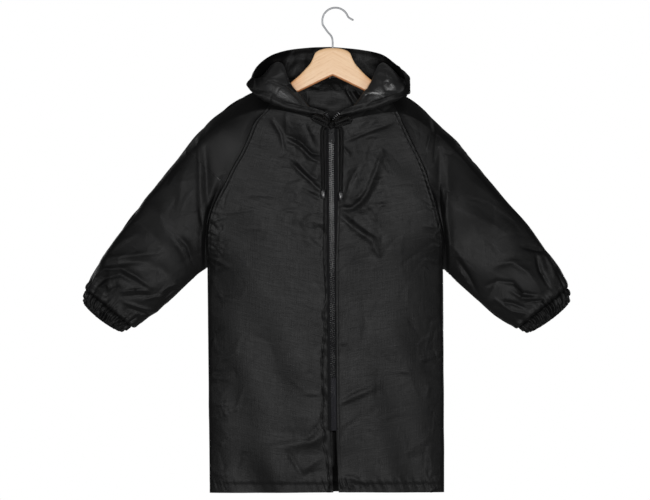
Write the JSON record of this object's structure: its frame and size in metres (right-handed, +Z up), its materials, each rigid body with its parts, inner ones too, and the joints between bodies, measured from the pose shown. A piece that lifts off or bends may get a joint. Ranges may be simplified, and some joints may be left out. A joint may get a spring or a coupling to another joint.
{
  "type": "kids raincoat on a hanger",
  "caption": "Hooded raglan raincoat for a child with front zip, drawcord bow and elastic cuffs, hanging flat on a wooden hanger by its wire hook.",
  "frame": {"origin": "inner top of the hanger's hook, where it lies on a rail", "axes": "+Z up, front of the coat towards -Y, +X to the right as seen from the front"},
  "size_m": [0.8548, 0.1186, 0.8532],
  "materials": {
    "cloth": "black taffeta, soft satin sheen",
    "coated_cloth": "black taffeta with a shinier coated inside",
    "zip_teeth": "moulded black teeth",
    "zip_tape": "woven black tape",
    "zip_film": "smooth grey reinforcing film",
    "slider": "black enamel",
    "cord": "braided black cord",
    "cord_end": "moulded black plastic",
    "beech": "clear satin lacquer",
    "chrome_wire": "polished steel wire"
  },
  "bodies": {
    "coat": {"front_left": "cloth", "front_right": "cloth", "back": "cloth", "sleeve_upper_left": "cloth", "sleeve_upper_right": "cloth", "sleeve_lower_left": "cloth", "sleeve_lower_right": "cloth", "cuff_left": "cloth", "cuff_right": "cloth", "hood_left": "coated_cloth", "hood_right": "coated_cloth", "zip_teeth_left": "zip_teeth", "zip_teeth_right": "zip_teeth", "zip_tape_left": "zip_tape", "zip_tape_right": "zip_tape", "zip_end": "zip_film", "zip_slider": "slider", "bow_knot": "cord", "bow_loop_left": "cord", "bow_loop_right": "cord", "cord_lead_left": "cord", "cord_lead_right": "cord", "cord_tail_left": "cord", "cord_tail_right": "cord", "cord_end_left": "cord_end", "cord_end_right": "cord_end", "hanger_wood": "beech", "hanger_hook": "chrome_wire"},
    "pull": {"zip_pull": "slider"}
  },
  "joints": [
    {"name": "pull_hinge", "type": "hinge", "parent": "coat", "child": "pull", "pos_m": [-0.00665, -0.0439, -0.2156], "axis": [-1, 0, 0], "range_deg": [0, 90]}
  ]
}
